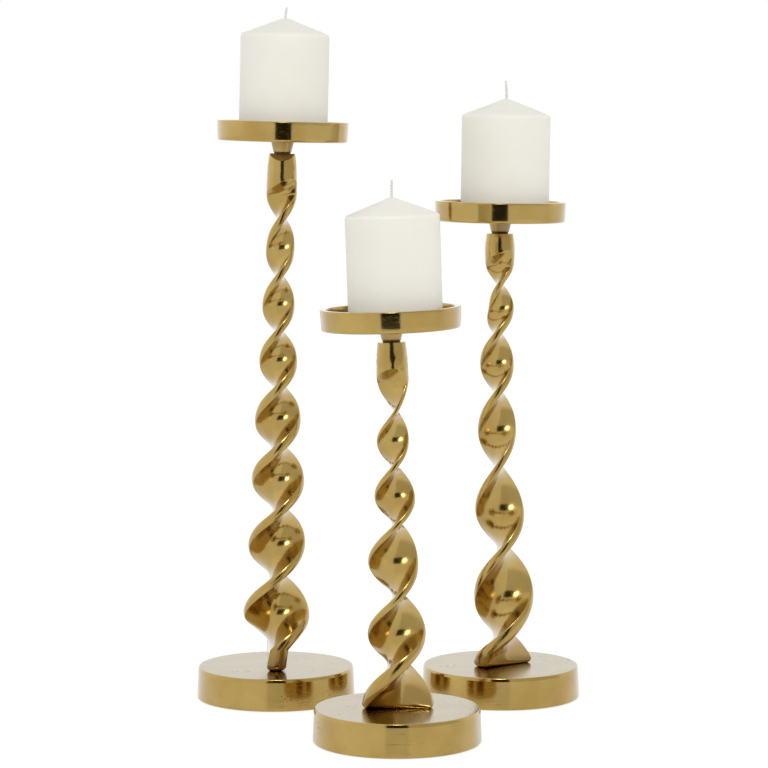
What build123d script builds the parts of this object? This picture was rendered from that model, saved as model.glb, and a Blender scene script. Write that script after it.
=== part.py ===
from build123d import *
import math
import os

# A graduated set of three spiral candle holders, each with its pillar candle, standing apart on
# a table. Every holder is the same kit: a cast base on a felt pad, a twisted flat bar bolted down
# to it, and a shallow dish that screws on to the bar's round top. Millimetres, +Z up. The origin
# is on the table under the middle of the tall holder, and the front of the set faces -Y.

# Where the other two stand, counted from the tall one
mid_right = 180.6
mid_back = 4.9
short_right = 96.6
short_front = 169.2

# Base casting, the same under every stem
base_bottom_diameter = 126.4
base_top_diameter = 124.5
base_height = 25.4
base_top_edge_radius = 1.0
base_bottom_edge_radius = 1.5

# Felt pad, let into the underside of the base
pad_thickness = 1.5
pad_stand = 0.5
pad_rim = 5.0
pad_clearance = 0.4
pad_hole_diameter = 28.0

# Bolt and washer that pull the stem down on to the base
bolt_diameter = 8.0
bolt_across_flats = 13.0
bolt_head_height = 5.3
bolt_reach = 16.0
bolt_hole_clearance = 0.5
bolt_well_diameter = 22.0
bolt_well_depth = 11.0
washer_diameter = 17.0
washer_thickness = 1.6
washer_hole_clearance = 0.2

# Screw fits, and how far a drilled hole runs past the end of its screw
thread_clearance = 0.05
drill_run = 0.6

# Twisted stems
tall_stem_height = 409.6
mid_stem_height = 346.3
short_stem_height = 273.8
tall_foot_width = 57.0
mid_foot_width = 52.5
short_foot_width = 55.1
tall_foot_thickness = 15.6
mid_foot_thickness = 18.0
short_foot_thickness = 16.0
tall_foot_heading = 92.0
mid_foot_heading = 36.0
short_foot_heading = 0.0

# Round top of the stems: diameter at the seat and at its widest, how far below the seat it starts
# to flatten into the bar, the length that this takes, and how closely its sections follow
barrel_top_diameter = 20.8
tall_barrel_diameter = 23.8
mid_barrel_diameter = 23.9
short_barrel_diameter = 23.4
tall_barrel_length = 20.0
mid_barrel_length = 14.0
short_barrel_length = 19.0
run_out_length = 12.0
top_section_step = 2.0

# Facet ground on the front of the tall stem's seat
facet_start = 3.5
facet_drop = 5.2

# Stud that the dish turns on
stud_diameter = 8.0
stud_in_stem = 16.0
stud_in_dish = 10.4

# Dish with its cast-on neck
dish_diameter = 104.5
dish_floor_diameter = 103.0
dish_height = 16.0
dish_wall = 4.5
dish_floor = 4.0
dish_corner_radius = 2.0
dish_inner_radius = 3.0
rim_edge_radius = 0.8
neck_height = 8.2
neck_top_diameter = 18.2
neck_bottom_diameter = 14.2
seat_height = 1.3
seat_diameter = 13.2
tall_tilt = 1.4
mid_tilt = 0.8
short_tilt = -1.9

# Pillar candle and wick
candle_diameter = 70.0
candle_shoulder_height = 80.0
candle_cone_height = 13.5
candle_shoulder_radius = 3.0
candle_tip_radius = 6.0
candle_foot_radius = 1.0
tall_candle_offset = 0.3
mid_candle_offset = 3.4
short_candle_offset = 3.6
wick_diameter = 1.9
tall_wick_length = 8.0
mid_wick_length = 13.5
short_wick_length = 12.3

# One overrun for every cutting tool
overrun = 1.0

# The course of each stem from foot to seat. A row is the half turns made so far, then the height
# reached as a share of the stem's height, and the bar's width, the thickness of its edges and its
# drift to the right as shares of its width, thickness and width at the foot.
tall_stem_shares = (
    (0.00, 0.000, 1.000, 1.000, 0.000),
    (0.02, 0.042, 1.000, 0.940, 0.022),
    (0.50, 0.107, 0.925, 0.800, 0.008),
    (1.00, 0.176, 0.840, 0.700, -0.006),
    (2.00, 0.307, 0.768, 0.700, 0.040),
    (3.00, 0.429, 0.697, 0.740, 0.030),
    (4.00, 0.547, 0.577, 0.640, 0.047),
    (5.00, 0.656, 0.486, 0.475, 0.046),
    (6.00, 0.764, 0.420, 0.455, 0.063),
    (7.00, 0.874, 0.385, 0.480, 0.098),
    (7.50, 0.925, 0.428, 0.480, 0.102),
    (8.17, 1.000, 0.430, 0.480, 0.112),
)
mid_stem_shares = (
    (0.00, 0.000, 1.000, 1.000, 0.030),
    (0.04, 0.014, 1.000, 1.000, 0.026),
    (0.12, 0.034, 0.985, 0.930, 0.006),
    (0.21, 0.052, 0.970, 0.870, 0.002),
    (0.30, 0.068, 0.960, 0.820, 0.006),
    (0.79, 0.167, 0.908, 0.640, 0.044),
    (1.29, 0.271, 0.855, 0.486, 0.013),
    (2.29, 0.462, 0.630, 0.370, -0.062),
    (3.29, 0.634, 0.550, 0.415, -0.066),
    (4.29, 0.770, 0.465, 0.410, -0.072),
    (4.79, 0.830, 0.385, 0.370, -0.012),
    (5.29, 0.883, 0.350, 0.310, -0.036),
    (5.60, 0.917, 0.430, 0.330, -0.036),
    (6.29, 1.000, 0.400, 0.400, -0.035),
)
short_stem_shares = (
    (0.00, 0.000, 1.000, 1.000, 0.011),
    (0.50, 0.117, 0.865, 0.900, -0.020),
    (1.00, 0.209, 0.785, 0.540, -0.006),
    (1.50, 0.307, 0.738, 0.470, -0.010),
    (2.00, 0.406, 0.675, 0.420, -0.056),
    (2.50, 0.504, 0.613, 0.380, -0.024),
    (3.50, 0.661, 0.477, 0.330, -0.052),
    (4.00, 0.736, 0.430, 0.280, -0.060),
    (4.50, 0.812, 0.396, 0.220, -0.030),
    (4.80, 0.872, 0.436, 0.230, -0.058),
    (5.35, 1.000, 0.420, 0.300, -0.078),
)
sections_per_half_turn = 8

# The bar's section, by the thickness of its edges: how thick its dished middle is and how far the
# edges bulge
middle_thickness_share = 0.8
edge_bulge_share = 0.16

# Where the bar's four creases end on the round top, as a share of its radius
crease_end_share = 0.95

base_top = pad_stand + base_height
dish_underside = seat_height + neck_height
candle_seat = dish_underside + dish_floor


def between(knots, values, at):
    """The value at a place on the smooth curve through the given knots."""
    last = len(knots) - 1
    i = max(k for k in range(last) if k == 0 or knots[k] <= at)

    def slope(k):
        low, high = max(k - 1, 0), min(k + 1, last)
        return (values[high] - values[low]) / (knots[high] - knots[low])

    span = knots[i + 1] - knots[i]
    t = (at - knots[i]) / span
    start = values[i] * (1 + 2 * t) * (1 - t) ** 2 + slope(i) * span * t * (1 - t) ** 2
    end = values[i + 1] * t**2 * (3 - 2 * t) - slope(i + 1) * span * t**2 * (1 - t)
    return start + end


def turned(points, rounded=()):
    """A solid turned about Z from an outline in radius and height, with chosen corners rounded."""
    outline = make_face(Polyline(*points, close=True))
    for corner, radius in rounded:
        nearest = outline.vertices().sort_by_distance(Vertex(*corner, 0))[0]
        outline = fillet(nearest, radius)
    return revolve(Plane.XZ * outline, Axis.Z)


def rod(diameter, bottom, top):
    """A plain upright cylinder between two heights."""
    centred = (Align.CENTER, Align.CENTER, Align.MIN)
    return Pos(0, 0, bottom) * Cylinder(diameter / 2, top - bottom, align=centred)


def make_base():
    """The cast base, hollowed below for the felt pad and for the bolt's head."""
    bottom, top = base_bottom_diameter / 2, base_top_diameter / 2
    pocket = bottom - pad_rim
    ceiling = pad_stand + bolt_well_depth
    casting = turned(
        [(0, pad_stand), (bottom, pad_stand), (top, base_top), (0, base_top)],
        [((bottom, pad_stand), base_bottom_edge_radius), ((top, base_top), base_top_edge_radius)],
    )
    casting -= rod(2 * pocket, pad_stand - overrun, pad_thickness)
    casting -= rod(bolt_well_diameter, pad_stand - overrun, ceiling)
    return casting - rod(bolt_diameter + 2 * bolt_hole_clearance, pad_stand, base_top + overrun)


def make_pad():
    """The felt pad that the holder stands on, with a hole for reaching the bolt."""
    disc = rod(base_bottom_diameter - 2 * (pad_rim + pad_clearance), 0, pad_thickness)
    return disc - rod(pad_hole_diameter, -overrun, pad_thickness + overrun)


def make_washer():
    """The flat washer against the roof of the bolt's well."""
    top = pad_stand + bolt_well_depth
    disc = rod(washer_diameter, top - washer_thickness, top)
    hole = bolt_diameter + 2 * washer_hole_clearance
    return disc - rod(hole, pad_stand, top + overrun)


def make_bolt():
    """The hexagon bolt that comes up through the base into the foot of the stem."""
    under_head = pad_stand + bolt_well_depth - washer_thickness
    hexagon = RegularPolygon(bolt_across_flats / 2, 6, major_radius=False)
    head = Pos(0, 0, under_head - bolt_head_height) * extrude(hexagon, bolt_head_height)
    return head + rod(bolt_diameter, under_head, base_top + bolt_reach)


def bar_outline(half_width, half_edge, crease, middle):
    """The bar's outline: two dished broad faces that meet two narrow bulging edges."""
    broad = ThreePointArc((crease, half_edge), (0, middle), (-crease, half_edge))
    edge = ThreePointArc((-crease, half_edge), (-half_width, 0), (-crease, -half_edge))
    return make_face([broad, edge, Rot(0, 0, 180) * broad, Rot(0, 0, 180) * edge])


def stem_section(stem, barrel, tilt, half_turns):
    """One level cut through the stem: the flat bar, which swells into the round top near its seat."""
    course, height, width, thickness, heading = stem
    widest, length = barrel
    turns, heights, widths, thicknesses, drifts = zip(*course)
    level = height * between(turns, heights, half_turns)
    depth = height - level
    roundness = min(max((length + run_out_length - depth) / run_out_length, 0), 1)
    along = min(depth / length, 1)
    radius = barrel_top_diameter / 2 + (widest - barrel_top_diameter) / 2 * math.sin(along * math.pi / 2)

    def swell(flat, full):
        return flat + (full - flat) * roundness

    half_width = swell(width * between(turns, widths, half_turns) / 2, radius)
    half_edge = swell(thickness * between(turns, thicknesses, half_turns) / 2, radius * crease_end_share)
    on_circle = math.sqrt(max(half_width**2 - half_edge**2, 0))
    crease = swell(half_width - 2 * half_edge * edge_bulge_share, on_circle)
    middle = half_edge * middle_thickness_share
    middle += (half_edge / crease_end_share - middle) * roundness**2
    place = Pos(width * between(turns, drifts, half_turns), 0, base_top + level)
    turn = Rot(0, tilt * (1 - along), 0) * Rot(0, 0, heading + 180 * half_turns)
    return place * turn * bar_outline(half_width, half_edge, crease, middle)


def make_bar(stem, barrel, tilt):
    """The twisted bar and its round top, lofted through their sections from the foot to the seat."""
    course, height = stem[:2]
    turns, heights = [row[0] for row in course], [row[1] for row in course]
    top_length = barrel[1] + run_out_length
    flat_turns = between(heights, turns, 1 - top_length / height)
    steps = math.ceil(flat_turns * sections_per_half_turn)
    levels = [flat_turns * i / steps for i in range(steps)]
    steps = math.ceil(top_length / top_section_step)
    levels += [between(heights, turns, 1 - top_length / height * (1 - i / steps)) for i in range(steps)]
    levels.append(turns[-1])
    return loft([stem_section(stem, barrel, tilt, half_turns) for half_turns in levels])


def make_facet():
    """The wedge ground away at the front of a seat, in the seat's own frame."""
    reach = barrel_top_diameter
    slope = facet_drop / (barrel_top_diameter / 2 - facet_start)
    outline = Polyline(
        (-facet_start, 0), (-facet_start - reach, -reach * slope), (-facet_start - reach, overrun),
        (-facet_start + overrun / slope, overrun), close=True,
    )
    return extrude(Plane.YZ * make_face(outline), reach, both=True)


def make_stud():
    """The plain stud between stem and dish, in the seat's own frame."""
    return rod(stud_diameter, -stud_in_stem, stud_in_dish)


def make_dish():
    """The shallow dish with the neck cast on below it, in the seat's own frame."""
    outside, underside = dish_diameter / 2, dish_floor_diameter / 2
    rim = dish_underside + dish_height
    outline = [
        (0, 0), (seat_diameter / 2, 0), (seat_diameter / 2, seat_height),
        (neck_bottom_diameter / 2, seat_height), (neck_top_diameter / 2, dish_underside),
        (underside, dish_underside), (outside, rim), (outside - dish_wall, rim),
        (underside - dish_wall, candle_seat), (0, candle_seat),
    ]
    rounded = [
        (outline[5], dish_corner_radius), (outline[6], rim_edge_radius),
        (outline[7], rim_edge_radius), (outline[8], dish_inner_radius),
    ]
    bore = stud_diameter + 2 * thread_clearance
    return turned(outline, rounded) - rod(bore, -overrun, stud_in_dish + drill_run)


def make_candle():
    """The pillar candle with its pointed top, in the frame of the dish's floor."""
    radius, tip = candle_diameter / 2, candle_shoulder_height + candle_cone_height
    shoulder = candle_shoulder_height
    outline = [(-radius, 0), (radius, 0), (radius, shoulder), (0, tip), (-radius, shoulder)]
    profile = make_face(Polyline(*outline, close=True))
    corners = profile.vertices().sort_by(Axis.Y)
    profile = fillet(corners[:2], candle_foot_radius)
    profile = fillet(profile.vertices().sort_by_distance(Vertex(*outline[3], 0))[0], candle_tip_radius)
    shoulders = [profile.vertices().sort_by_distance(Vertex(*outline[i], 0))[0] for i in (2, 4)]
    profile = split(fillet(shoulders, candle_shoulder_radius), bisect_by=Plane.YZ)
    wax = revolve(Plane.XZ * profile, Axis.Z)
    return wax - rod(wick_diameter, -overrun, tip + overrun)


def make_wick(length):
    """The wick, from the candle's underside to its burnt end."""
    return rod(wick_diameter, 0, candle_shoulder_height + candle_cone_height + length)


def make_holder(name, place, stem, barrel, tilt, candle_offset, wick_length, faceted=False):
    """All the pieces of one holder, by node name, where they stand on the table."""
    course, height, width = stem[:3]
    seat_drift = width * course[-1][4]
    seat = Location((seat_drift, 0, base_top + height), (0, tilt, 0))
    candle_place = seat * Pos(candle_offset, 0, candle_seat)
    bar = make_bar(stem, barrel, tilt)
    if faceted:
        bar -= seat * make_facet()
    bar -= seat * rod(stud_diameter + 2 * thread_clearance, -stud_in_stem - drill_run, overrun)
    bolt_end = base_top + bolt_reach + drill_run
    bar -= rod(bolt_diameter + 2 * thread_clearance, base_top - overrun, bolt_end)
    pieces = {
        "base": make_base(),
        "base_pad": make_pad(),
        "base_bolt": make_bolt(),
        "bolt_washer": make_washer(),
        "stem": bar,
        "dish_stud": seat * make_stud(),
        "dish": seat * make_dish(),
        "candle": candle_place * make_candle(),
        "wick": candle_place * make_wick(wick_length),
    }
    return {f"{name}_{piece}": place * shape for piece, shape in pieces.items()}


holders = {
    **make_holder(
        "tall", Pos(0, 0, 0),
        (tall_stem_shares, tall_stem_height, tall_foot_width, tall_foot_thickness, tall_foot_heading),
        (tall_barrel_diameter, tall_barrel_length),
        tall_tilt, tall_candle_offset, tall_wick_length, faceted=True,
    ),
    **make_holder(
        "mid", Pos(mid_right, mid_back, 0),
        (mid_stem_shares, mid_stem_height, mid_foot_width, mid_foot_thickness, mid_foot_heading),
        (mid_barrel_diameter, mid_barrel_length),
        mid_tilt, mid_candle_offset, mid_wick_length,
    ),
    **make_holder(
        "short", Pos(short_right, -short_front, 0),
        (short_stem_shares, short_stem_height, short_foot_width, short_foot_thickness, short_foot_heading),
        (short_barrel_diameter, short_barrel_length),
        short_tilt, short_candle_offset, short_wick_length,
    ),
}

os.makedirs("parts", exist_ok=True)
for node, shape in holders.items():
    export_step(shape, f"parts/{node}.step")
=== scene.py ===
import math

import bpy
import numpy as np
from mathutils import Matrix, Vector


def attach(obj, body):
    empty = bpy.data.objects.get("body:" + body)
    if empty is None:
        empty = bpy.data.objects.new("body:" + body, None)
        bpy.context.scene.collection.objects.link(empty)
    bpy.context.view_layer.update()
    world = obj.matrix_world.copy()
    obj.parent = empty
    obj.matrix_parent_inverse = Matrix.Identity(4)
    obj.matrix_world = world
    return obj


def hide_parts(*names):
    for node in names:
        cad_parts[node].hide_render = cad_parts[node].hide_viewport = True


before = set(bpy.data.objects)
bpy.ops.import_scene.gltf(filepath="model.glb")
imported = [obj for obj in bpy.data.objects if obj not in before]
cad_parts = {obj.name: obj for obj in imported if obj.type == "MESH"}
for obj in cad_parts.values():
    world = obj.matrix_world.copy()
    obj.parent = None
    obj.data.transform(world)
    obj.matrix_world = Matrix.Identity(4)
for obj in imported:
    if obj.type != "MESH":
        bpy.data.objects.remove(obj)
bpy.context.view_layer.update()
mm = 0.001
tiny = 1e-6
arcCuts = 8  # steps in each small rounding

# where each holder stands, how its dish leans, where its candle stands in the dish,
# how its wick bends and how brown its stem is at the foot
holders = {
    "tall": {
        "place": (0.0, 0.0), "tilt": 1.4, "candleOffset": 0.3,
        "wickLength": 8.0, "wickBend": (0.9, 0.2), "footTint": 0.85,
    },
    "mid": {
        "place": (180.6, 4.9), "tilt": 0.8, "candleOffset": 3.4,
        "wickLength": 13.5, "wickBend": (-0.9, 0.3), "footTint": 0.55,
    },
    "short": {
        "place": (96.6, -169.2), "tilt": -1.9, "candleOffset": 3.6,
        "wickLength": 12.3, "wickBend": (0.5, 0.2), "footTint": 0.25,
    },
}


# nodes and materials
def newMaterial(name):
    made = bpy.data.materials.new(name)
    made.use_nodes = True
    made.node_tree.nodes.clear()
    return made


def addNode(made, kind, inputs=(), **settings):
    new = made.node_tree.nodes.new(kind)
    for key, value in settings.items():
        setattr(new, key, value)
    for key, value in dict(inputs).items():
        if isinstance(value, bpy.types.NodeSocket):
            made.node_tree.links.new(value, new.inputs[key])
        else:
            new.inputs[key].default_value = value
    return new


def ramp(made, value, low, high, fromValue=0.0, toValue=1.0):
    inputs = {0: value, 1: low, 2: high, 3: fromValue, 4: toValue}
    return addNode(made, "ShaderNodeMapRange", inputs).outputs[0]


def combine(made, operation, first, second):
    return addNode(made, "ShaderNodeMath", {0: first, 1: second}, operation=operation).outputs[0]


def blendColour(made, amount, first, second):
    return addNode(made, "ShaderNodeMix", {0: amount, 6: first, 7: second}, data_type="RGBA").outputs[2]


def blendValue(made, amount, first, second):
    return addNode(made, "ShaderNodeMix", {0: amount, 2: first, 3: second}, data_type="FLOAT").outputs[0]


def blendShader(made, amount, first, second):
    return addNode(made, "ShaderNodeMixShader", {0: amount, 1: first.outputs[0], 2: second.outputs[0]})


def noiseAt(made, where, scale, detail, stretch=None):
    if stretch:
        where = addNode(made, "ShaderNodeMapping", {0: where, 3: stretch}).outputs[0]
    inputs = {"Vector": where, "Scale": scale, "Detail": detail}
    return addNode(made, "ShaderNodeTexNoise", inputs).outputs[0]


def bumpOn(made, height, strength, depth, below=None, sunken=False):
    inputs = {"Strength": strength, "Distance": depth * mm, "Height": height}
    if below:
        inputs["Normal"] = below
    return addNode(made, "ShaderNodeBump", inputs, invert=sunken).outputs[0]


gold = (0.50, 0.342, 0.082, 1)
goldDeep = (0.45, 0.285, 0.055, 1)
neckDeep = (0.30, 0.19, 0.06, 1)
facetDeep = (0.36, 0.22, 0.06, 1)
# near black for the seat boss: painted shade of the thin gap between the neck and the stem's top
seatPaintedShade = (0.05, 0.03, 0.015, 1)
# dark of the casting's real pits and scratches; the seat boss also takes it as painted shade
pitAndSeatShadeColour = (0.10, 0.065, 0.03, 1)
footColour = (0.24, 0.12, 0.022, 1)

# polished casting: slow clouds of colour, a hammered waviness, patches of fine pits, rubbed scratches;
# heights and depths in mm, footRange in metres above the table
stemLook = {
    "colours": (gold, goldDeep), "cloudScale": 40, "cloudRange": (0.35, 0.65), "edgeTint": (1, 1, 1, 1),
    "metallic": 1.0, "coat": 1.0, "coatRoughness": 0.12, "coatIor": 1.5, "waveScale": 60, "waveHeight": 0.25,
    "grainScale": 900, "grainHeight": 0.0006, "grainRange": (0.3, 0.7), "roughness": (0.16, 0.21),
    "patchScale": 45, "patchStretch": (1, 1, 1), "patchRange": (0.50, 0.75),
    "pitScale": 400, "pitLeast": -0.05, "pitReach": 0.10, "pitEdge": (-0.04, 0.03),
    "pitDark": 0.6, "pitDull": 0.3, "markStrength": 0.6, "markDepth": 0.06,
    "scratches": 0.0, "scratchScale": 300, "scratchStretch": (1, 1, 6), "scratchRange": (0.645, 0.70),
    "scratchDark": 0.35, "footRange": (0.030, 0.056), "footTint": 0.0,
}
baseLook = dict(
    stemLook, waveHeight=0.10, pitScale=420, pitReach=0.36, pitDark=0.85, patchScale=38,
    patchStretch=(0.5, 0.5, 1.6), roughness=(0.10, 0.14), scratches=0.5, scratchStretch=(0.25, 0.25, 4),
)
topLook = dict(
    stemLook, waveHeight=0.03, waveScale=35, grainHeight=0.008, pitScale=300, pitReach=0.42, pitDark=0.8,
    patchScale=60, roughness=(0.14, 0.24), scratches=0.3, edgeTint=(0.76, 0.80, 0.80, 1), coatRoughness=0.2,
)
dishLook = dict(
    stemLook, waveHeight=0.08, pitScale=450, pitReach=0.14, roughness=(0.08, 0.13), scratches=0.3,
)
neckLook = dict(
    stemLook, grainHeight=0.02, roughness=(0.30, 0.42), pitReach=0.3, coatRoughness=0.35,
    colours=(gold, neckDeep),
)
# the seat boss, without coat and painted near black: painted shade of the gap under the neck
seatShadeLook = dict(neckLook, coat=0.0, colours=(pitAndSeatShadeColour, seatPaintedShade))
facetLook = dict(
    neckLook, metallic=0.5, colours=(gold, facetDeep), grainHeight=0.008, roughness=(0.45, 0.55),
)


def goldFinish(name, look):
    made = newMaterial(name)
    where = addNode(made, "ShaderNodeTexCoord").outputs["Object"]
    cloud = noiseAt(made, where, look["cloudScale"], detail=2)
    grain = noiseAt(made, where, look["grainScale"], detail=4)
    wave = noiseAt(made, where, look["waveScale"], detail=2)
    patch = noiseAt(made, where, look["patchScale"], detail=1, stretch=look["patchStretch"])
    cells = addNode(made, "ShaderNodeTexVoronoi", {"Vector": where, "Scale": look["pitScale"]})
    reach = ramp(made, patch, *look["patchRange"], look["pitLeast"], look["pitReach"])
    pits = combine(made, "SUBTRACT", cells.outputs["Distance"], reach)
    pits = ramp(made, pits, *look["pitEdge"], 1.0, 0.0)
    scratch = noiseAt(made, where, look["scratchScale"], detail=3, stretch=look["scratchStretch"])
    scratch = combine(made, "MULTIPLY", ramp(made, scratch, *look["scratchRange"]), look["scratches"])
    colour = blendColour(made, ramp(made, cloud, *look["cloudRange"]), *look["colours"])
    if look["footTint"]:
        height = addNode(made, "ShaderNodeSeparateXYZ", {0: where}).outputs["Z"]
        foot = ramp(made, height, *look["footRange"], look["footTint"], 0.0)
        colour = blendColour(made, foot, colour, footColour)
    pitMarks = combine(made, "MULTIPLY", pits, look["pitDark"])
    scratchMarks = combine(made, "MULTIPLY", scratch, look["scratchDark"])
    marks = combine(made, "MAXIMUM", pitMarks, scratchMarks)
    dull = combine(made, "MULTIPLY", pits, look["pitDull"])
    normal = bumpOn(made, wave, 1.0, look["waveHeight"])
    normal = bumpOn(made, grain, 1.0, look["grainHeight"], normal)
    sunken = combine(made, "ADD", pits, scratch)
    normal = bumpOn(made, sunken, look["markStrength"], look["markDepth"], normal, sunken=True)
    shader = addNode(made, "ShaderNodeBsdfPrincipled", {
        "Base Color": blendColour(made, marks, colour, pitAndSeatShadeColour),
        "Metallic": look["metallic"], "Specular Tint": look["edgeTint"], "Normal": normal,
        "Coat Weight": look["coat"], "Coat Roughness": look["coatRoughness"], "Coat IOR": look["coatIor"],
        "Roughness": combine(made, "ADD", dull, ramp(made, grain, *look["grainRange"], *look["roughness"])),
    })
    addNode(made, "ShaderNodeOutputMaterial", {"Surface": shader.outputs[0]})
    return made


stemGold = {
    name: goldFinish(f"{name}StemGold", dict(stemLook, footTint=holder["footTint"]))
    for name, holder in holders.items()
}
baseGold = goldFinish("baseGold", baseLook)
topGold = goldFinish("topGold", topLook)
dishGold = goldFinish("dishGold", dishLook)
neckGold = goldFinish("neckGold", neckLook)
seatShadeGold = goldFinish("seatShadeGold", seatShadeLook)
facetGold = goldFinish("facetGold", facetLook)

waxLook = {
    "ivory": (0.848, 0.834, 0.757, 1), "ivoryWarm": (0.83, 0.81, 0.728, 1), "cloudScale": 30,
    "cloudRange": (0.3, 0.7), "grainScale": 600, "grainStrength": 0.15, "grainHeight": 0.05,
    "roughness": 0.42, "glow": 0.35, "glowRadius": (1.0, 0.8, 0.5), "glowDepth": 6.0,
}


def waxFinish(name, look):
    made = newMaterial(name)
    where = addNode(made, "ShaderNodeTexCoord").outputs["Object"]
    cloud = ramp(made, noiseAt(made, where, look["cloudScale"], detail=3), *look["cloudRange"])
    grain = noiseAt(made, where, look["grainScale"], detail=3)
    shader = addNode(made, "ShaderNodeBsdfPrincipled", {
        "Base Color": blendColour(made, cloud, look["ivory"], look["ivoryWarm"]),
        "Roughness": look["roughness"], "Subsurface Weight": look["glow"],
        "Subsurface Radius": look["glowRadius"], "Subsurface Scale": look["glowDepth"] * mm,
        "Normal": bumpOn(made, grain, look["grainStrength"], look["grainHeight"]),
    })
    addNode(made, "ShaderNodeOutputMaterial", {"Surface": shader.outputs[0]})
    return made


wickLook = {
    "colours": ((0.80, 0.78, 0.72, 1), (0.62, 0.58, 0.50, 1)), "colourRange": (0.35, 0.65),
    "roughness": (0.6, 0.8), "grainRange": (0.3, 0.7), "metallic": 0.0, "grainScale": 900,
    "grainStrength": 0.8, "grainHeight": 0.1,
}
feltLook = dict(
    wickLook, colours=((0.04, 0.036, 0.032, 1), (0.075, 0.068, 0.06, 1)), roughness=(0.9, 1.0),
    grainScale=1500, grainHeight=0.3,
)
zincLook = dict(
    wickLook, colours=((0.58, 0.57, 0.54, 1), (0.42, 0.41, 0.39, 1)), roughness=(0.25, 0.4), metallic=1.0,
    grainScale=500, grainHeight=0.02,
)


def grainedFinish(name, look):
    made = newMaterial(name)
    where = addNode(made, "ShaderNodeTexCoord").outputs["Object"]
    grain = noiseAt(made, where, look["grainScale"], detail=4)
    shader = addNode(made, "ShaderNodeBsdfPrincipled", {
        "Base Color": blendColour(made, ramp(made, grain, *look["colourRange"]), *look["colours"]),
        "Metallic": look["metallic"],
        "Roughness": ramp(made, grain, *look["grainRange"], *look["roughness"]),
        "Normal": bumpOn(made, grain, look["grainStrength"], look["grainHeight"]),
    })
    addNode(made, "ShaderNodeOutputMaterial", {"Surface": shader.outputs[0]})
    return made


wax = waxFinish("candleWax", waxLook)
wickCotton = grainedFinish("wickCotton", wickLook)
felt = grainedFinish("felt", feltLook)
zinc = grainedFinish("zinc", zincLook)
print("finishes made")


# meshes, in mm
def looseObject(name, points, faces):
    mesh = bpy.data.meshes.new(name)
    mesh.from_pydata([tuple(p * mm) for p in points], [], faces)
    mesh.validate()
    made = bpy.data.objects.new(name, mesh)
    bpy.context.scene.collection.objects.link(made)
    return made


# finishOf picks a material for each face by its centre
def finishPiece(made, materials, body, slot, *replaced, smoothBelow=40, finishOf=None):
    mesh = made.data
    mesh.materials.clear()
    for material in materials:
        mesh.materials.append(material)
    if finishOf:
        for face in mesh.polygons:
            face.material_index = finishOf(face.center / mm)
    mesh.shade_smooth()
    mesh.set_sharp_from_angle(angle=math.radians(smoothBelow))
    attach(made, body)
    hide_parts(*replaced)


# the value at a place on the smooth curve through the given knots
def curveValue(knots, values, at):
    last = len(knots) - 1
    i = max(k for k in range(last) if k == 0 or knots[k] <= at)

    def slope(k):
        low, high = max(k - 1, 0), min(k + 1, last)
        return (values[high] - values[low]) / (knots[high] - knots[low])

    span = knots[i + 1] - knots[i]
    t = (at - knots[i]) / span
    start = values[i] * (1 + 2 * t) * (1 - t) ** 2 + slope(i) * span * t * (1 - t) ** 2
    return start + values[i + 1] * t**2 * (3 - 2 * t) - slope(i + 1) * span * t**2 * (1 - t)


# points of radius and height turned about Z; a point on the axis becomes one vertex
def turnedMesh(profile, cuts, matrix):
    points, faces, rows = [], [], []
    for radius, height in profile:
        if radius < tiny:
            rows.append([len(points)] * cuts)
            points.append(matrix @ Vector((0, 0, height)))
        else:
            rows.append(list(range(len(points), len(points) + cuts)))
            for k in range(cuts):
                a = 2 * math.pi * k / cuts
                points.append(matrix @ Vector((radius * math.cos(a), radius * math.sin(a), height)))
    for low, high in zip(rows, rows[1:]):
        for k in range(cuts):
            n = (k + 1) % cuts
            face = [low[k], low[n], high[n], high[k]]
            face = [v for j, v in enumerate(face) if v != face[j - 1]]
            if len(face) > 2:
                faces.append(face)
    return points, faces


# faces of a solid whose points run ring after ring upwards, with a flat face at each end
def ringFaces(rings, cuts):
    faces = []
    for i in range(rings - 1):
        low, high = i * cuts, (i + 1) * cuts
        faces += [[low + k, low + (k + 1) % cuts, high + (k + 1) % cuts, high + k] for k in range(cuts)]
    faces.append(list(range(cuts))[::-1])
    faces.append(list(range((rings - 1) * cuts, rings * cuts)))
    return faces


# corners are (radius, height, rounding); each rounding becomes a short arc
def roundedProfile(corners):
    made = []
    for i, (x, z, rounding) in enumerate(corners):
        here = Vector((x, z))
        if not rounding:
            made.append((x, z))
            continue
        before, after = Vector(corners[i - 1][:2]), Vector(corners[(i + 1) % len(corners)][:2])
        a, b = (before - here).normalized(), (after - here).normalized()
        half = a.angle(b) / 2
        centre = here + (a + b).normalized() * rounding / math.sin(half)
        start, end = here + a * rounding / math.tan(half), here + b * rounding / math.tan(half)
        sweep = math.pi - 2 * half
        side = 1 if (start - centre).cross(end - centre) > 0 else -1
        for k in range(arcCuts + 1):
            turn = Matrix.Rotation(side * sweep * k / arcCuts, 2)
            spot = centre + turn @ (start - centre)
            made.append((spot.x, spot.y))
    return made


# extra points along the long straight runs, so that no face is long and thin
def filledRuns(profile, step):
    made = []
    for (x0, z0), (x1, z1) in zip(profile, profile[1:]):
        parts = max(1, round(math.hypot(x1 - x0, z1 - z0) / step))
        made += [(x0 + (x1 - x0) * k / parts, z0 + (z1 - z0) * k / parts) for k in range(parts)]
    return made + [profile[-1]]


# first joined with, or cut by, second; second is used up
def boolean(first, second, operation):
    modifier = first.modifiers.new("cut", "BOOLEAN")
    modifier.object, modifier.operation, modifier.solver = second, operation, "MANIFOLD"
    mesh = bpy.data.meshes.new_from_object(first.evaluated_get(bpy.context.evaluated_depsgraph_get()))
    first.modifiers.clear()
    old, first.data = first.data, mesh
    bpy.data.meshes.remove(old)
    bpy.data.objects.remove(second)


def standing(name):
    x, y = holders[name]["place"]
    return Matrix.Translation(Vector((x, y, 0)))


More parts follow.
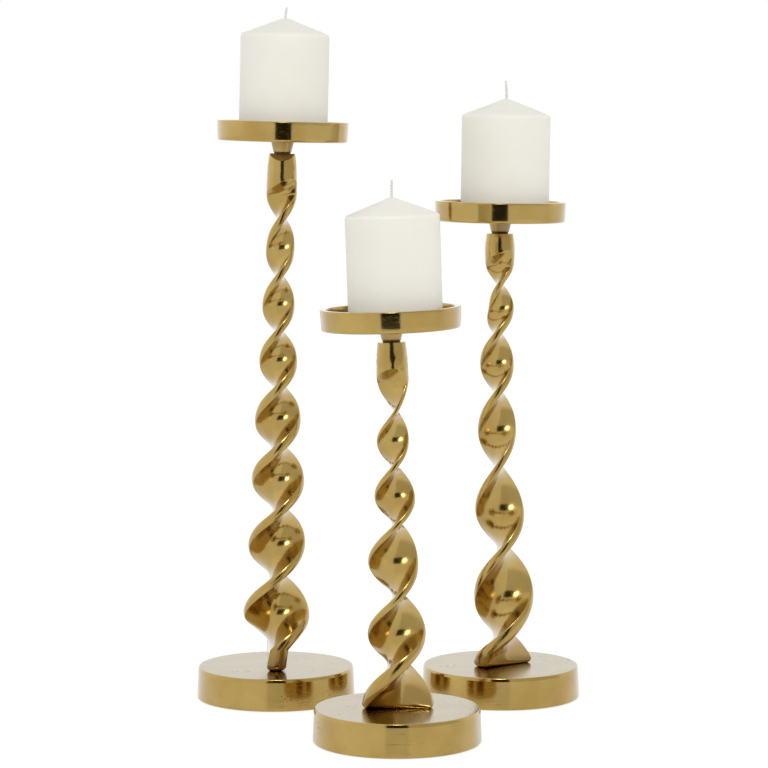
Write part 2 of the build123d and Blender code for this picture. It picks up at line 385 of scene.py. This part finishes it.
# every bar: its course gives half turns, then shares of height, width, edge thickness and drift
stems = {
    "tall": {
        "height": 409.6, "width": 57.0, "thickness": 15.6, "heading": 92.0, "widest": 23.8, "length": 20.0,
        "facet": True,
        "course": (
            (0.00, 0.000, 1.000, 1.000, 0.000), (0.02, 0.042, 1.000, 0.940, 0.022),
            (0.50, 0.107, 0.925, 0.800, 0.008), (1.00, 0.176, 0.840, 0.700, -0.006),
            (2.00, 0.307, 0.768, 0.700, 0.040), (3.00, 0.429, 0.697, 0.740, 0.030),
            (4.00, 0.547, 0.577, 0.640, 0.047), (5.00, 0.656, 0.486, 0.475, 0.046),
            (6.00, 0.764, 0.420, 0.455, 0.063), (7.00, 0.874, 0.385, 0.480, 0.098),
            (7.50, 0.925, 0.428, 0.480, 0.102), (8.17, 1.000, 0.430, 0.480, 0.112),
        ),
    },
    "mid": {
        "height": 346.3, "width": 52.5, "thickness": 18.0, "heading": 36.0, "widest": 23.9, "length": 14.0,
        "facet": False,
        "course": (
            (0.00, 0.000, 1.000, 1.000, 0.030), (0.04, 0.014, 1.000, 1.000, 0.026),
            (0.12, 0.034, 0.985, 0.930, 0.006), (0.21, 0.052, 0.970, 0.870, 0.002),
            (0.30, 0.068, 0.960, 0.820, 0.006), (0.79, 0.167, 0.908, 0.640, 0.044),
            (1.29, 0.271, 0.855, 0.486, 0.013), (2.29, 0.462, 0.630, 0.370, -0.062),
            (3.29, 0.634, 0.550, 0.415, -0.066), (4.29, 0.770, 0.465, 0.410, -0.072),
            (4.79, 0.830, 0.385, 0.370, -0.012), (5.29, 0.883, 0.350, 0.310, -0.036),
            (5.60, 0.917, 0.430, 0.330, -0.036), (6.29, 1.000, 0.400, 0.400, -0.035),
        ),
    },
    "short": {
        "height": 273.8, "width": 55.1, "thickness": 16.0, "heading": 0.0, "widest": 23.4, "length": 19.0,
        "facet": False,
        "course": (
            (0.00, 0.000, 1.000, 1.000, 0.011), (0.50, 0.117, 0.865, 0.900, -0.020),
            (1.00, 0.209, 0.785, 0.540, -0.006), (1.50, 0.307, 0.738, 0.470, -0.010),
            (2.00, 0.406, 0.675, 0.420, -0.056), (2.50, 0.504, 0.613, 0.380, -0.024),
            (3.50, 0.661, 0.477, 0.330, -0.052), (4.00, 0.736, 0.430, 0.280, -0.060),
            (4.50, 0.812, 0.396, 0.220, -0.030), (4.80, 0.872, 0.436, 0.230, -0.058),
            (5.35, 1.000, 0.420, 0.300, -0.078),
        ),
    },
}
bar = {
    "foot": 25.9, "footRounding": 4.2, "footCuts": 11, "middleShare": 0.88, "bulgeShare": 0.16,
    "creaseSoft": 0.6, "softMost": 0.9, "creaseCuts": 4, "broadCuts": 28, "edgeCuts": 8, "ringStep": 0.8,
    "fineSteps": 3000, "seatDiameter": 20.8, "runOut": 12.0, "creaseEndShare": 0.95,
    "facetStart": 3.5, "facetDrop": 5.2, "facetMargin": 0.02, "studBore": 8.1, "studDepth": 16.6,
    "boltBore": 8.1, "boltDepth": 16.6, "boreCuts": 48, "overrun": 1.0,
}


# the frame of the stem's seat, on which the dish stands and leans
def seatMatrix(name):
    x, y = holders[name]["place"]
    spec = stems[name]
    drift = spec["width"] * spec["course"][-1][4]
    spot = Matrix.Translation(Vector((x + drift, y, bar["foot"] + spec["height"])))
    return spot @ Matrix.Rotation(math.radians(holders[name]["tilt"]), 4, "Y")


# points on the circle through two ends and a middle that lies evenly between them
def arcBetween(start, middle, end, cuts):
    a, b, c = Vector(start), Vector(middle), Vector(end)
    chord = (c - a) / 2
    bow = b - (a + c) / 2
    if bow.length < tiny:
        return [a.lerp(c, k / cuts) for k in range(cuts + 1)]
    radius = (chord.length_squared + bow.length_squared) / (2 * bow.length)
    centre = b - bow.normalized() * radius
    half = math.atan2(chord.length, radius - bow.length)
    side = 1 if chord.cross(bow) < 0 else -1
    spin = [Matrix.Rotation(side * half * (2 * k / cuts - 1), 2) for k in range(cuts + 1)]
    return [centre + turn @ (b - centre) for turn in spin]


# one outline of the bar: two broad faces, two narrow bulging edges and softly rounded creases
def barOutline(halfWidth, halfEdge, crease, middle):
    broad = arcBetween((crease, halfEdge), (0, middle), (-crease, halfEdge), bar["broadCuts"])
    edge = arcBetween((-crease, halfEdge), (-halfWidth, 0), (-crease, -halfEdge), bar["edgeCuts"])
    half = []
    for run in (broad, edge):
        soft = min(bar["creaseSoft"], (run[0] - run[1]).length * bar["softMost"])
        first = run[0] + (run[1] - run[0]).normalized() * soft
        last = run[-1] + (run[-2] - run[-1]).normalized() * soft
        half.append([first] + run[1:-1] + [last])
    broad, edge = half
    corner = [Vector((-crease, halfEdge)), Vector((-crease, -halfEdge))]
    points = []
    for flip in (1, -1):
        for run, following, tip in ((broad, edge[0], corner[0]), (edge, -broad[0], corner[1])):
            points += [flip * p for p in run]
            for k in range(1, bar["creaseCuts"]):
                t = k / bar["creaseCuts"]
                points.append(flip * (run[-1] * (1 - t) ** 2 + 2 * tip * t * (1 - t) + following * t**2))
    return points


# one cut across the stem: the flat bar, which swells into the round top and tilts with it near the seat
def stemSection(name, spec, halfTurns):
    turns, heights, widths, thicknesses, drifts = zip(*spec["course"])
    level = spec["height"] * curveValue(turns, heights, halfTurns)
    depth = spec["height"] - level
    roundness = min(max((spec["length"] + bar["runOut"] - depth) / bar["runOut"], 0), 1)
    along = min(depth / spec["length"], 1)
    seatRadius, widest = bar["seatDiameter"] / 2, spec["widest"] / 2
    radius = seatRadius + (widest - seatRadius) * math.sin(along * math.pi / 2)

    def swell(flat, full):
        return flat + (full - flat) * roundness

    # the foot curls in to its end
    curl = max(bar["footRounding"] - level, 0)
    inset = bar["footRounding"] - math.sqrt(bar["footRounding"] ** 2 - curl**2)
    halfWidth = spec["width"] * curveValue(turns, widths, halfTurns) / 2
    halfWidth = swell(halfWidth, radius) - inset
    halfEdge = spec["thickness"] * curveValue(turns, thicknesses, halfTurns) / 2
    halfEdge = swell(halfEdge, radius * bar["creaseEndShare"]) - inset
    onCircle = math.sqrt(max(halfWidth**2 - halfEdge**2, 0))
    crease = swell(halfWidth - 2 * halfEdge * bar["bulgeShare"], onCircle)
    middle = halfEdge * bar["middleShare"]
    middle += (halfEdge / bar["creaseEndShare"] - middle) * roundness**2
    x, y = holders[name]["place"]
    drift = spec["width"] * curveValue(turns, drifts, halfTurns)
    place = Matrix.Translation(Vector((x + drift, y, bar["foot"] + level)))
    place @= Matrix.Rotation(math.radians(holders[name]["tilt"]) * (1 - along), 4, "Y")
    place @= Matrix.Rotation(math.radians(spec["heading"] + 180 * halfTurns), 4, "Z")
    return [place @ Vector((p.x, p.y, 0)) for p in barOutline(halfWidth, halfEdge, crease, middle)]


def makeBar(name, spec):
    turns, heights = [row[0] for row in spec["course"]], [row[1] for row in spec["course"]]
    fine = np.linspace(0, turns[-1], bar["fineSteps"])
    climbed = [curveValue(turns, heights, t) for t in fine]
    curl = bar["footRounding"] / spec["height"]
    inCurl = curl * (1 - np.cos(np.linspace(0, math.pi / 2, bar["footCuts"] + 1)))
    above = np.linspace(curl, 1, round(spec["height"] / bar["ringStep"]))
    sections = [stemSection(name, spec, turn) for turn in np.interp([*inCurl[:-1], *above], climbed, fine)]
    points = [p for section in sections for p in section]
    return points, ringFaces(len(sections), len(sections[0]))


def rod(diameter, bottom, top, matrix):
    profile = [(0, top), (diameter / 2, top), (diameter / 2, bottom), (0, bottom)]
    return looseObject("rod", *turnedMesh(profile, bar["boreCuts"], matrix))


def facetSlope():
    return bar["facetDrop"] / (bar["seatDiameter"] / 2 - bar["facetStart"])


# what the flat ground on the front of the tall seat takes away
def facetWedge(matrix):
    reach, start, over = bar["seatDiameter"], bar["facetStart"], bar["overrun"]
    slope = facetSlope()
    outline = [(-start + over / slope, over), (-start - reach, over), (-start - reach, -reach * slope)]
    points = [matrix @ Vector((side * reach, y, z)) for side in (-1, 1) for y, z in outline]
    return looseObject("wedge", points, ringFaces(2, len(outline)))


def makeStem(name):
    spec = stems[name]
    seat = seatMatrix(name)
    stem = looseObject(f"{name}Stem", *makeBar(name, spec))
    if spec["facet"]:
        boolean(stem, facetWedge(seat), "DIFFERENCE")
    boolean(stem, rod(bar["studBore"], -bar["studDepth"], bar["overrun"], seat), "DIFFERENCE")
    foot, top = bar["foot"] - bar["overrun"], bar["foot"] + bar["boltDepth"]
    boolean(stem, rod(bar["boltBore"], foot, top, standing(name)), "DIFFERENCE")
    back = seat.inverted()

    def finishOf(centre):
        local = back @ centre
        off = local.z - (local.y + bar["facetStart"]) * facetSlope()
        return 1 if local.y < -bar["facetStart"] and abs(off) < bar["facetMargin"] else 0

    finishPiece(
        stem, [stemGold[name], facetGold], f"{name}_holder", "polished_gold", f"{name}_stem",
        smoothBelow=32, finishOf=finishOf if spec["facet"] else None,
    )
    print(name, "stem", len(stem.data.polygons), "faces")


base = {
    "bottomDiameter": 126.4, "topDiameter": 124.5, "bottom": 0.5, "top": 25.9, "bottomRounding": 1.5,
    "shoulderRadius": 7.0, "shoulderSweep": 24, "shoulderCuts": 12, "topRounding": 0.8,
    "pocketDiameter": 116.4, "pocketTop": 1.5, "wellDiameter": 22.0, "wellTop": 11.5, "boltHole": 9.0,
    "cuts": 256, "step": 3.0, "topMargin": 0.05,
}


# the side wall curls in slowly under the top edge before the tight rounding, as a buffed casting does
def baseShoulder():
    b = base
    lean = math.atan((b["bottomDiameter"] - b["topDiameter"]) / 2 / (b["top"] - b["bottom"]))
    sweep = math.radians(b["shoulderSweep"])
    big, small = b["shoulderRadius"], b["topRounding"]
    drop = big * (math.sin(sweep) - math.sin(lean)) + small * (1 - math.sin(sweep))
    wallX = b["topDiameter"] / 2 + drop * math.tan(lean)
    made = []
    for k in range(b["shoulderCuts"] + 1):
        a = lean + (sweep - lean) * k / b["shoulderCuts"]
        x = wallX - big * (math.cos(lean) - math.cos(a))
        made.append((x, b["top"] - drop + big * (math.sin(a) - math.sin(lean)), 0))
    x, z, _ = made[-1]
    for k in range(1, arcCuts + 1):
        a = sweep + (math.pi / 2 - sweep) * k / arcCuts
        inward, upward = math.cos(sweep) - math.cos(a), math.sin(a) - math.sin(sweep)
        made.append((x - small * inward, z + small * upward, 0))
    return made


def makeBase(name):
    b = base
    hole, well, pocket = b["boltHole"] / 2, b["wellDiameter"] / 2, b["pocketDiameter"] / 2
    corners = [
        (hole, b["wellTop"], 0), (well, b["wellTop"], 0), (well, b["pocketTop"], 0),
        (pocket, b["pocketTop"], 0), (pocket, b["bottom"], 0),
        (b["bottomDiameter"] / 2, b["bottom"], b["bottomRounding"]),
        *baseShoulder(), (hole, b["top"], 0), (hole, b["wellTop"], 0),
    ]
    profile = filledRuns(roundedProfile(corners), b["step"])
    made = looseObject(f"{name}Base", *turnedMesh(profile, b["cuts"], standing(name)))

    def finishOf(centre):
        return 1 if centre.z > b["top"] - b["topMargin"] else 0

    finishPiece(
        made, [baseGold, topGold], f"{name}_holder", "polished_gold", f"{name}_base", finishOf=finishOf,
    )


dish = {
    "diameter": 104.5, "floorDiameter": 103.0, "height": 16.0, "wall": 4.5, "floor": 4.0, "corner": 2.0,
    "inner": 3.0, "rim": 0.8, "neckHeight": 8.2, "neckTop": 18.2, "neckBottom": 14.2, "neckEdge": 0.5,
    "seatHeight": 1.3, "seatDiameter": 13.2, "bore": 8.1, "boreDepth": 11.0, "cuts": 256, "step": 2.5,
    "neckMargin": 0.01,
}


def makeDish(name):
    d = dish
    under = d["seatHeight"] + d["neckHeight"]
    floor, rim = under + d["floor"], under + d["height"]
    out, foot = d["diameter"] / 2, d["floorDiameter"] / 2
    corners = [
        (0, d["boreDepth"], 0), (d["bore"] / 2, d["boreDepth"], 0), (d["bore"] / 2, 0, 0),
        (d["seatDiameter"] / 2, 0, 0), (d["seatDiameter"] / 2, d["seatHeight"], 0),
        (d["neckBottom"] / 2, d["seatHeight"], d["neckEdge"]), (d["neckTop"] / 2, under, 0),
        (foot, under, d["corner"]), (out, rim, d["rim"]), (out - d["wall"], rim, d["rim"]),
        (foot - d["wall"], floor, d["inner"]), (0, floor, 0),
    ]
    profile = filledRuns(roundedProfile(corners), d["step"])
    made = looseObject(f"{name}Dish", *turnedMesh(profile, d["cuts"], seatMatrix(name)))
    back = seatMatrix(name).inverted()

    # faces above the neck take the dish finish, then the neck's, and the seat boss below it takes the
    # painted shade
    def finishOf(centre):
        height = (back @ centre).z + d["neckMargin"]
        return 0 if height > under else 1 if height > d["seatHeight"] else 2

    finishPiece(
        made, [dishGold, neckGold, seatShadeGold], f"{name}_dish", "polished_gold", f"{name}_dish",
        finishOf=finishOf,
    )


candle = {
    "diameter": 70.0, "shoulder": 80.0, "cone": 13.5, "shoulderRounding": 3.0, "tipRounding": 6.0,
    "footRounding": 1.0, "cuts": 192, "step": 2.0,
}


def candleMatrix(name):
    lift = dish["seatHeight"] + dish["neckHeight"] + dish["floor"]
    return seatMatrix(name) @ Matrix.Translation(Vector((holders[name]["candleOffset"], 0, lift)))


def makeCandle(name):
    c = candle
    radius, shoulder, tip = c["diameter"] / 2, c["shoulder"], c["shoulder"] + c["cone"]
    corners = [
        (0, 0, 0), (radius, 0, c["footRounding"]), (radius, shoulder, c["shoulderRounding"]), (0, tip, 0),
    ]
    profile = filledRuns(roundedProfile(corners), c["step"])
    slope = math.atan(c["cone"] / radius)
    soft = c["tipRounding"] * math.sin(slope)
    ball = tip - c["tipRounding"] / math.cos(slope)
    profile = [
        (x, ball + math.sqrt(c["tipRounding"] ** 2 - x**2)) if x < soft and z > shoulder else (x, z)
        for x, z in profile
    ]
    made = looseObject(f"{name}Candle", *turnedMesh(profile, c["cuts"], candleMatrix(name)))
    finishPiece(made, [wax], f"{name}_candle", "wax", f"{name}_candle")


# a braided cotton wick: three strands show as a slow twist in its outline
wick = {
    "diameter": 1.9, "sunk": 4.0, "cuts": 18, "rows": 40, "strandDepth": 0.14, "strands": 1.5, "twist": 1.6,
    "taperFrom": 0.85, "taper": 0.35,
}


def makeWick(name):
    w, h = wick, holders[name]
    tip = candle["shoulder"] + candle["cone"]
    length, cuts = h["wickLength"] + w["sunk"], w["cuts"]
    matrix = candleMatrix(name)
    points = []
    for i in range(w["rows"] + 1):
        t = i / w["rows"]
        z = tip - w["sunk"] + length * t
        bend = max(0, (z - tip) / h["wickLength"]) ** 2
        thin = 1 - w["taper"] * max(0, t - w["taperFrom"]) / (1 - w["taperFrom"])
        for k in range(cuts):
            a = 2 * math.pi * k / cuts
            strand = 1 - w["strandDepth"] * (1 - abs(math.cos(w["strands"] * a + z * w["twist"])))
            r = w["diameter"] / 2 * thin * strand
            x, y = r * math.cos(a) + h["wickBend"][0] * bend, r * math.sin(a) + h["wickBend"][1] * bend
            points.append(matrix @ Vector((x, y, z)))
    made = looseObject(f"{name}Wick", points, ringFaces(w["rows"] + 1, cuts))
    finishPiece(made, [wickCotton], f"{name}_candle", "wick", f"{name}_wick")


# the stud that the dish turns on, with a real right-hand thread and chamfered ends
stud = {
    "diameter": 8.0, "bottom": -16.0, "top": 10.4, "pitch": 1.25, "depth": 0.7, "flank": 2.2, "crest": 0.35,
    "cuts": 40, "rowsPerPitch": 8,
}


def makeStud(name):
    s = stud
    rows = round((s["top"] - s["bottom"]) / s["pitch"] * s["rowsPerPitch"])
    radius, core = s["diameter"] / 2, s["diameter"] / 2 - s["depth"]
    points = []
    matrix = seatMatrix(name)
    for i in range(rows + 1):
        z = s["bottom"] + (s["top"] - s["bottom"]) * i / rows
        chamfer = min(z - s["bottom"], s["top"] - z, s["depth"])
        for k in range(s["cuts"]):
            phase = (z / s["pitch"] - k / s["cuts"]) % 1
            groove = max(0, min(1, s["flank"] * (1 - abs(2 * phase - 1)) - s["crest"]))
            r = min(radius - s["depth"] * groove, core + chamfer)
            a = 2 * math.pi * k / s["cuts"]
            points.append(matrix @ Vector((r * math.cos(a), r * math.sin(a), z)))
    made = looseObject(f"{name}Stud", points, ringFaces(rows + 1, s["cuts"]))
    finishPiece(made, [zinc], f"{name}_stud", "plated_steel", f"{name}_dish_stud", smoothBelow=60)


# the hexagon bolt, its head chamfered below
bolt = {
    "diameter": 8.0, "acrossFlats": 13.0, "sides": 6, "headTop": 9.9, "headHeight": 5.3, "top": 41.9,
    "chamfer": 0.5, "chamferLean": 30, "cuts": 64, "overrun": 1.0, "sunk": 2.0,
}


def makeBolt(name):
    b = bolt
    corner = b["acrossFlats"] / 2 / math.cos(math.pi / b["sides"])
    low, high = b["headTop"] - b["headHeight"], b["headTop"]
    angles = [2 * math.pi * k / b["sides"] for k in range(b["sides"])]
    matrix = standing(name)
    rim = [(corner * math.cos(a), corner * math.sin(a)) for a in angles]
    points = [matrix @ Vector((x, y, z)) for z in (low, high) for x, y in rim]
    made = looseObject(f"{name}Bolt", points, ringFaces(2, b["sides"]))
    flat, wide = b["acrossFlats"] / 2 - b["chamfer"], corner + b["overrun"]
    rise, over = low + (wide - flat) * math.tan(math.radians(b["chamferLean"])), high + b["overrun"]
    cone = [(0, over), (wide, over), (wide, rise), (flat, low), (0, low)]
    boolean(made, looseObject("chamfer", *turnedMesh(cone, b["cuts"], matrix)), "INTERSECT")
    radius, start = b["diameter"] / 2, high - b["sunk"]
    shank = [(0, b["top"]), (radius, b["top"]), (radius, start), (0, start)]
    boolean(made, looseObject("shank", *turnedMesh(shank, b["cuts"], matrix)), "UNION")
    finishPiece(made, [zinc], f"{name}_holder", "plated_steel", f"{name}_base_bolt")


for name in holders:
    makeStem(name)
for name in holders:
    makeBase(name)
    makeDish(name)
    makeCandle(name)
    makeWick(name)
    makeStud(name)
    makeBolt(name)
print("bases, dishes, candles and screws made")

# the hidden pieces keep the mesh of the frame
hidden = {"base_pad": felt, "bolt_washer": zinc}
for name in holders:
    for piece, material in hidden.items():
        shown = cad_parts[f"{name}_{piece}"]
        shown.data.materials.clear()
        shown.data.materials.append(material)
print("hidden pieces finished")

# the camera, as the photograph was taken
shot = {
    "at": (0.086742, -2.372760, 0.475067), "pitch": 84.644, "lens": 140.36, "sensor": 36, "clip": (0.05, 50),
}
camera = bpy.data.objects.new("camera", bpy.data.cameras.new("camera"))
bpy.context.scene.collection.objects.link(camera)
camera.location = shot["at"]
camera.rotation_euler = (math.radians(shot["pitch"]), 0, 0)
camera.data.lens, camera.data.sensor_width = shot["lens"], shot["sensor"]
camera.data.clip_start, camera.data.clip_end = shot["clip"]
bpy.context.scene.camera = camera

# studio, in metres: a white floor, pale walls that the gold mirrors darker in front,
# and a dark card at the camera's place, which the gold mirrors as a band
studio = {
    "floorSize": 12.0, "floorGlow": 0.73, "floorColour": (0.44, 0.44, 0.44, 1), "floorKeep": 0.45,
    "floorWhite": (0.86, 0.86, 0.86, 1), "floorRoughness": 0.12, "cardWidth": 0.84, "cardTop": 1.15,
    "cardDistance": 1.7, "cardX": 0.087, "cardColour": (0.02, 0.02, 0.02, 1), "white": (1, 1, 1, 1),
    "worldHorizon": 0.90, "worldZenith": 0.58, "wallLeft": 0.87, "wallRight": 0.65, "wallBack": 1.0,
    "leftCorner": 0.37, "rightCorner": -0.10, "cornerBlur": 0.15, "splitBlur": 0.02,
    "aimAt": (0.09, -0.06, 0.25),
}


def addSheet(name, size, location, rotation, material):
    w, h = size[0] / 2, size[1] / 2
    mesh = bpy.data.meshes.new(name)
    mesh.from_pydata([(-w, -h, 0), (w, -h, 0), (w, h, 0), (-w, h, 0)], [], [[0, 1, 2, 3]])
    made = bpy.data.objects.new(name, mesh)
    made.location, made.rotation_euler = location, rotation
    mesh.materials.append(material)
    bpy.context.scene.collection.objects.link(made)
    return made


def seenInMirrors(made, path):
    return combine(made, "MAXIMUM", path["Is Glossy Ray"], path["Is Transmission Ray"])


# white to the eye but for the soft shadow; the gold mirrors it partly as plain white, partly as it is lit
def makeFloor():
    s = studio
    made = newMaterial("paleFloor")
    path = addNode(made, "ShaderNodeLightPath").outputs
    glossy = seenInMirrors(made, path)
    inputs = {"Base Color": s["floorWhite"], "Roughness": s["floorRoughness"]}
    matt = addNode(made, "ShaderNodeBsdfPrincipled", inputs)
    white = addNode(made, "ShaderNodeEmission", {"Color": s["white"], "Strength": 1.0})
    mirrored = blendShader(made, s["floorKeep"], white, matt)
    glow = addNode(made, "ShaderNodeEmission", {"Color": s["white"], "Strength": s["floorGlow"]})
    shade = addNode(made, "ShaderNodeBsdfDiffuse", {"Color": s["floorColour"]})
    seen = addNode(made, "ShaderNodeAddShader", {0: glow.outputs[0], 1: shade.outputs[0]})
    unseen = blendShader(made, glossy, matt, mirrored)
    shader = blendShader(made, path["Is Camera Ray"], unseen, seen)
    addNode(made, "ShaderNodeOutputMaterial", {"Surface": shader.outputs[0]})
    addSheet("floor", (s["floorSize"], s["floorSize"]), (0, 0, 0), (0, 0, 0), made)


def makeCard():
    s = studio
    made = newMaterial("darkCard")
    shader = addNode(made, "ShaderNodeBsdfDiffuse", {"Color": s["cardColour"]})
    addNode(made, "ShaderNodeOutputMaterial", {"Surface": shader.outputs[0]})
    place = (s["cardX"], -s["cardDistance"], s["cardTop"] / 2)
    card = addSheet("darkCard", (s["cardWidth"], s["cardTop"]), place, (math.pi / 2, 0, 0), made)
    card.visible_camera = False
    card.visible_diffuse = False


# mirrors see a left, a right and a back wall, matt pieces a soft sky, and the eye plain white
def makeWorld():
    s = studio
    world = bpy.data.worlds.new("studio")
    bpy.context.scene.world = world
    world.use_nodes = True
    world.node_tree.nodes.clear()
    path = addNode(world, "ShaderNodeLightPath").outputs
    aim = addNode(world, "ShaderNodeTexCoord").outputs["Generated"]
    aim = addNode(world, "ShaderNodeSeparateXYZ", {0: aim}).outputs
    blur, split = s["cornerBlur"], s["splitBlur"]
    corner = ramp(world, aim["X"], -blur, blur, s["leftCorner"], s["rightCorner"])
    forward = combine(world, "MULTIPLY", aim["Y"], -1.0)
    inFront = ramp(world, combine(world, "SUBTRACT", forward, corner), -blur, blur)
    wall = ramp(world, aim["X"], -split, split, s["wallLeft"], s["wallRight"])
    wall = blendValue(world, inFront, s["wallBack"], wall)
    sky = ramp(world, aim["Z"], 0.0, 1.0, s["worldHorizon"], s["worldZenith"])
    level = blendValue(world, seenInMirrors(world, path), sky, wall)
    level = blendValue(world, path["Is Camera Ray"], level, 1.0)
    shader = addNode(world, "ShaderNodeBackground", {"Color": s["white"], "Strength": level})
    addNode(world, "ShaderNodeOutputWorld", {"Surface": shader.outputs[0]})


makeFloor()
makeCard()
makeWorld()

# the gold mirrors the two overhead lamps as one bright spot; the softboxes light without being mirrored
lamps = {
    "overhead": {
        "at": (0.09, -1.50, 1.45), "shape": "ELLIPSE", "size": (0.66, 0.62), "watts": 3.0, "mirrored": True,
    },
    "overheadHeart": {
        "at": (0.09, -1.49, 1.43), "shape": "ELLIPSE", "size": (0.38, 0.36), "watts": 3.0, "mirrored": True,
    },
    "leftSoftbox": {
        "at": (-2.05, -1.1, 0.9), "shape": "RECTANGLE", "size": (1.2, 1.2), "watts": 8.0, "mirrored": False,
    },
    "rightSoftbox": {
        "at": (2.0, -1.3, 0.9), "shape": "RECTANGLE", "size": (1.0, 1.0), "watts": 9.5, "mirrored": False,
    },
}
for name, lamp in lamps.items():
    light = bpy.data.lights.new(name, "AREA")
    light.shape, light.energy = lamp["shape"], lamp["watts"]
    light.size, light.size_y = lamp["size"]
    made = bpy.data.objects.new(name, light)
    bpy.context.scene.collection.objects.link(made)
    made.location = lamp["at"]
    made.rotation_mode = "QUATERNION"
    made.rotation_quaternion = (Vector(studio["aimAt"]) - made.location).to_track_quat("-Z", "Y")
    made.visible_camera = False
    made.visible_glossy = lamp["mirrored"]
print("studio made")

bpy.context.scene.view_settings.view_transform = "Standard"
